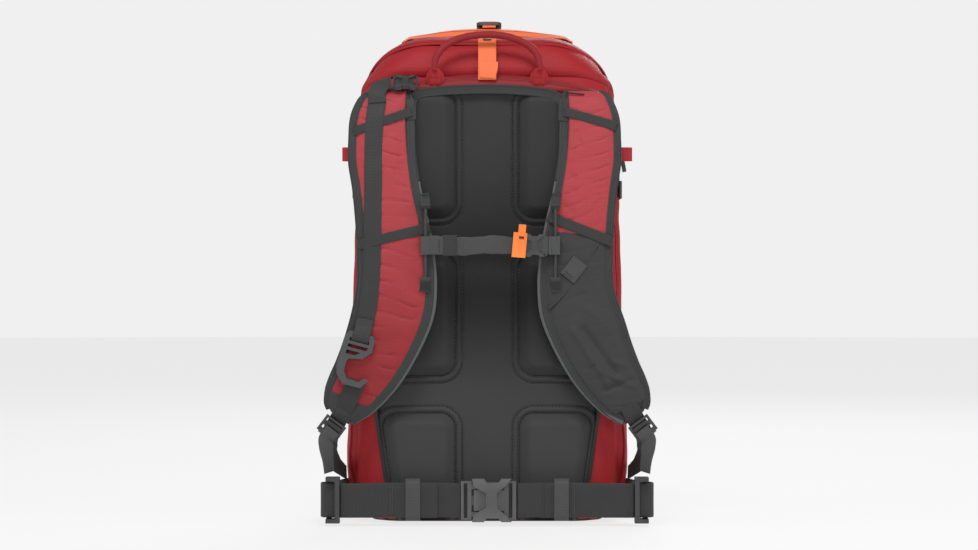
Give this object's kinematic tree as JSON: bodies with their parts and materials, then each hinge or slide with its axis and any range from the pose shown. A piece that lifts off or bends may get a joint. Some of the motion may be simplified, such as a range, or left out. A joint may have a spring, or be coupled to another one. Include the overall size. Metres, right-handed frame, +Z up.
{
  "type": "ski backpack",
  "caption": "Ski touring backpack with a zipped lid, moulded back panel, padded shoulder straps joined by a chest strap, and a webbing hip belt with a side-release buckle.",
  "frame": {"origin": "centre of the bag's flat base, on the surface it stands on", "axes": "+Z up, -Y towards the wearer's back (the back panel and shoulder straps face -Y), +X to the right seen from the wearer's side"},
  "size_m": [0.373, 0.2868, 0.5587],
  "materials": {
    "base_fabric": "matte black coated pack cloth",
    "foam": "matte dark grey foam-backed fabric, moulded",
    "hook_metal": "dark anodised aluminium",
    "orange_fabric": "matte bright orange nylon",
    "orange_plastic": "satin orange plastic",
    "plastic": "satin dark grey acetal plastic",
    "plastic_grey": "satin mid grey acetal plastic",
    "red_ripstop": "matte red ripstop nylon with a light coating",
    "rose_ripstop": "matte lighter red ripstop nylon",
    "sheet_plastic": "matte white polyethylene sheet",
    "stay": "brushed bare aluminium",
    "stretch": "matte dark grey stretch woven fabric",
    "webbing": "ribbed dark grey nylon webbing",
    "zip": "matte black coil zip and tape"
  },
  "bodies": {
    "pack": {"front_panel": "red_ripstop", "side_panel_left": "red_ripstop", "side_panel_right": "red_ripstop", "back_wall": "red_ripstop", "base_panel": "base_fabric", "back_board": "foam", "back_pad_upper_left": "foam", "back_pad_upper_right": "foam", "back_pad_middle_left": "foam", "back_pad_middle_right": "foam", "back_pad_lower_left": "foam", "back_pad_lower_right": "foam", "frame_sheet": "sheet_plastic", "frame_stays": "stay", "yoke": "rose_ripstop", "tool_pocket": "red_ripstop", "tool_zip": "zip", "main_zip_lower": "zip", "lid_strap": "orange_fabric", "gear_loops": "red_ripstop", "side_webbing": "webbing", "shoulder_webbing_left": "webbing", "shoulder_webbing_right": "webbing", "hip_webbing_left": "webbing", "hip_webbing_right": "webbing", "hip_adjusters": "plastic_grey", "hip_keepers": "webbing", "hip_buckle_female": "plastic_grey"},
    "lid": {"lid_shell": "red_ripstop", "lid_band": "orange_fabric", "lid_buckle": "plastic", "main_zip_upper": "zip"},
    "main_slider": {"main_zip_slider": "plastic"},
    "main_pull": {"main_zip_pull": "webbing"},
    "tool_slider": {"tool_zip_slider": "plastic"},
    "tool_pull": {"tool_zip_pull": "orange_plastic"},
    "handle": {"haul_handle": "rose_ripstop"},
    "strap_left": {"strap_pad_left": "foam", "strap_cover_left": "rose_ripstop", "strap_trim_left": "webbing", "sternum_rail_left": "plastic", "carry_webbing": "webbing", "carry_webbing_top": "webbing", "carry_buckle_female": "plastic"},
    "carry_male": {"carry_buckle_male": "plastic"},
    "hook": {"carry_hook": "hook_metal"},
    "lock_left": {"ladder_lock_left": "plastic"},
    "strap_right": {"strap_pad_right": "foam", "strap_cover_right": "rose_ripstop", "strap_pocket": "stretch", "strap_trim_right": "webbing", "sternum_rail_right": "plastic"},
    "lock_right": {"ladder_lock_right": "plastic"},
    "chest_left": {"sternum_clip_left": "plastic", "sternum_webbing": "webbing"},
    "chest_male": {"sternum_buckle_male": "plastic", "whistle": "orange_plastic"},
    "chest_right": {"sternum_clip_right": "plastic", "sternum_buckle_female": "plastic"},
    "hip_male": {"hip_buckle_male": "plastic_grey"}
  },
  "joints": [
    {"name": "lid_open", "type": "hinge", "parent": "pack", "child": "lid", "pos_m": [0, 0.098, 0.4316], "axis": [-1, 0, 0], "range_deg": [0, 100]},
    {"name": "main_zip_slide", "type": "slide", "parent": "pack", "child": "main_slider", "axis": [0, -0.8575, 0.5145], "range_m": [0, 0.03]},
    {"name": "main_pull_swing", "type": "hinge", "parent": "main_slider", "child": "main_pull", "pos_m": [0.1444, 0.044, 0.4638], "axis": [0, -1, 0], "range_deg": [0, 60]},
    {"name": "tool_zip_slide", "type": "slide", "parent": "pack", "child": "tool_slider", "axis": [0, 0, -1], "range_m": [0, 0.225]},
    {"name": "tool_pull_swing", "type": "hinge", "parent": "tool_slider", "child": "tool_pull", "pos_m": [0.062, 0.1412, 0.345], "axis": [1, 0, 0], "range_deg": [0, 80]},
    {"name": "handle_swing", "type": "hinge", "parent": "pack", "child": "handle", "pos_m": [0, -0.097, 0.497], "axis": [1, 0, 0], "range_deg": [0, 80]},
    {"name": "strap_swing", "type": "hinge", "parent": "pack", "child": "strap_left", "pos_m": [0, -0.096, 0.478], "axis": [-1, 0, 0], "range_deg": [0, 25], "deforming": ["shoulder_webbing_left"]},
    {"name": "strap_swing_right", "type": "hinge", "parent": "pack", "child": "strap_right", "pos_m": [0, -0.096, 0.478], "axis": [-1, 0, 0], "range_deg": [0, 25], "deforming": ["shoulder_webbing_right"]},
    {"name": "carry_release", "type": "slide", "parent": "strap_left", "child": "carry_male", "axis": [-1, 0, 0], "range_m": [0, 0.02], "deforming": ["carry_webbing_top"]},
    {"name": "hook_swing", "type": "hinge", "parent": "strap_left", "child": "hook", "pos_m": [-0.138, -0.1301, 0.206], "axis": [-0.9659, 0, 0.2588], "range_deg": [0, 60]},
    {"name": "lock_tilt_left", "type": "hinge", "parent": "strap_left", "child": "lock_left", "pos_m": [-0.1635, -0.109, 0.1145], "axis": [-0.8, 0, 0.6], "range_deg": [0, 25]},
    {"name": "lock_tilt_right", "type": "hinge", "parent": "strap_right", "child": "lock_right", "pos_m": [0.1635, -0.109, 0.1145], "axis": [-0.8, 0, -0.6], "range_deg": [0, 25]},
    {"name": "chest_height", "type": "slide", "parent": "strap_left", "child": "chest_left", "axis": [0, 0, 1], "range_m": [-0.02, 0.025]},
    {"name": "chest_height_right", "type": "slide", "parent": "strap_right", "child": "chest_right", "axis": [0, 0, 1], "range_m": [-0.02, 0.025]},
    {"name": "chest_release", "type": "slide", "parent": "chest_left", "child": "chest_male", "axis": [-1, 0, 0], "range_m": [0, 0.02], "deforming": ["sternum_webbing"]},
    {"name": "hip_release", "type": "slide", "parent": "pack", "child": "hip_male", "axis": [-1, 0, 0], "range_m": [0, 0.04], "deforming": ["hip_webbing_left"]}
  ],
  "couplings": [
    {"joint": "strap_swing_right", "follows": "strap_swing", "ratio": 1},
    {"joint": "chest_height_right", "follows": "chest_height", "ratio": 1}
  ]
}
